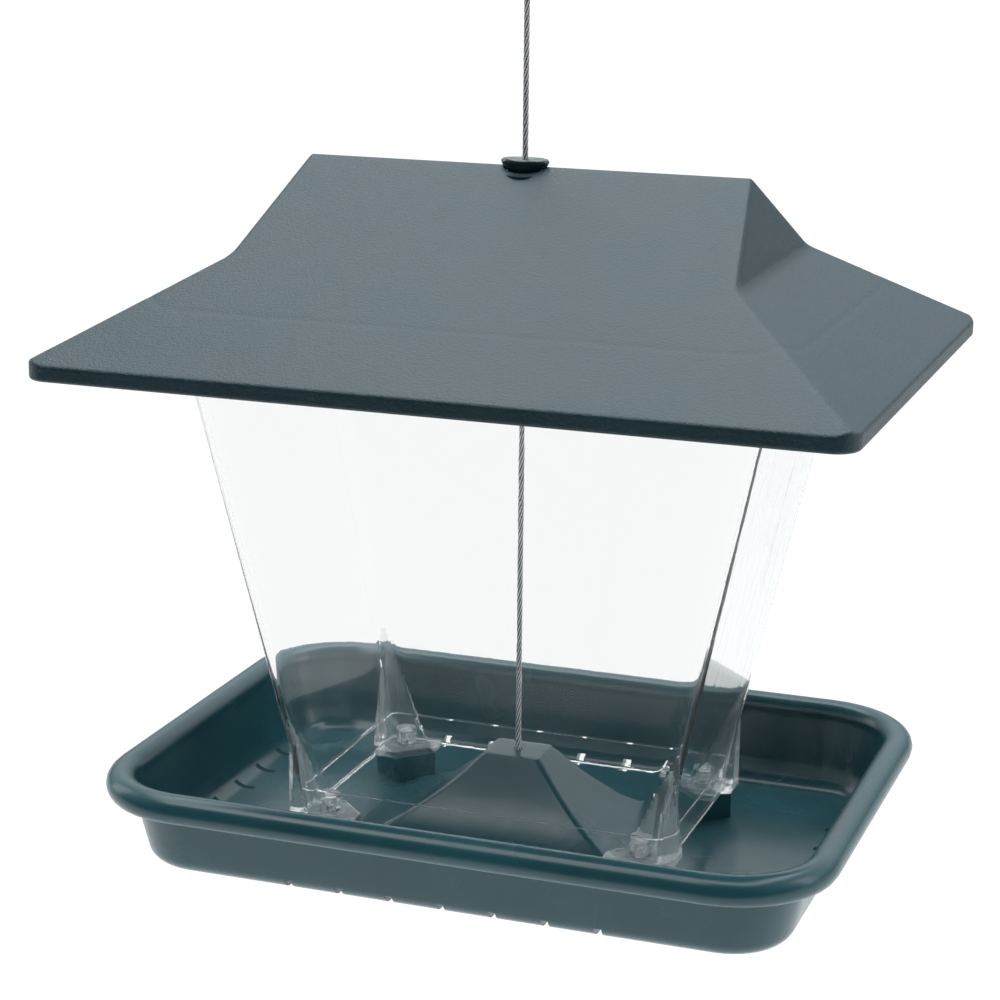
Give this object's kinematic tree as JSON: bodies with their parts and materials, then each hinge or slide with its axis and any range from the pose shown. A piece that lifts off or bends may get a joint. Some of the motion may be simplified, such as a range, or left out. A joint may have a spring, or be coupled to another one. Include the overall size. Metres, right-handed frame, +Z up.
{
  "type": "hanging hopper bird feeder",
  "caption": "Hanging bird feeder: a gabled roof lifts off a clear tapered seed hopper on a rimmed tray with a seed cone, all carried by a central steel cable.",
  "frame": {"origin": "centre of the tray's underside, on the cable's axis", "axes": "+Z up along the cable, +X along the roof's ridge, -Y is the front"},
  "size_m": [0.3, 0.219, 0.3782],
  "materials": {
    "roof_plastic": "fine textured",
    "cap_plastic": "gloss",
    "clear_plastic": "clear",
    "tray_plastic": "semi-gloss",
    "screw_steel": "zinc plated",
    "cable_steel": "twisted wire",
    "crimp_metal": "satin"
  },
  "bodies": {
    "feeder": {"tray": "tray_plastic", "hopper": "clear_plastic", "screw_front_left": "screw_steel", "screw_front_right": "screw_steel", "screw_back_left": "screw_steel", "screw_back_right": "screw_steel"},
    "cable_line": {"cable": "cable_steel", "cable_stop": "crimp_metal", "stop_washer": "screw_steel", "loop_ferrule": "crimp_metal"},
    "roof": {"roof": "roof_plastic"},
    "cap": {"roof_cap": "cap_plastic"}
  },
  "joints": [
    {"name": "cable_turn", "type": "hinge", "parent": "feeder", "child": "cable_line", "pos_m": [0, 0, 0.032], "axis": [0, 0, 1], "continuous": true},
    {"name": "roof_lift", "type": "slide", "parent": "feeder", "child": "roof", "axis": [0, 0, 1], "range_m": [0, 0.045]},
    {"name": "cap_slide", "type": "slide", "parent": "roof", "child": "cap", "axis": [0, 0, 1], "range_m": [0, 0.01]}
  ]
}
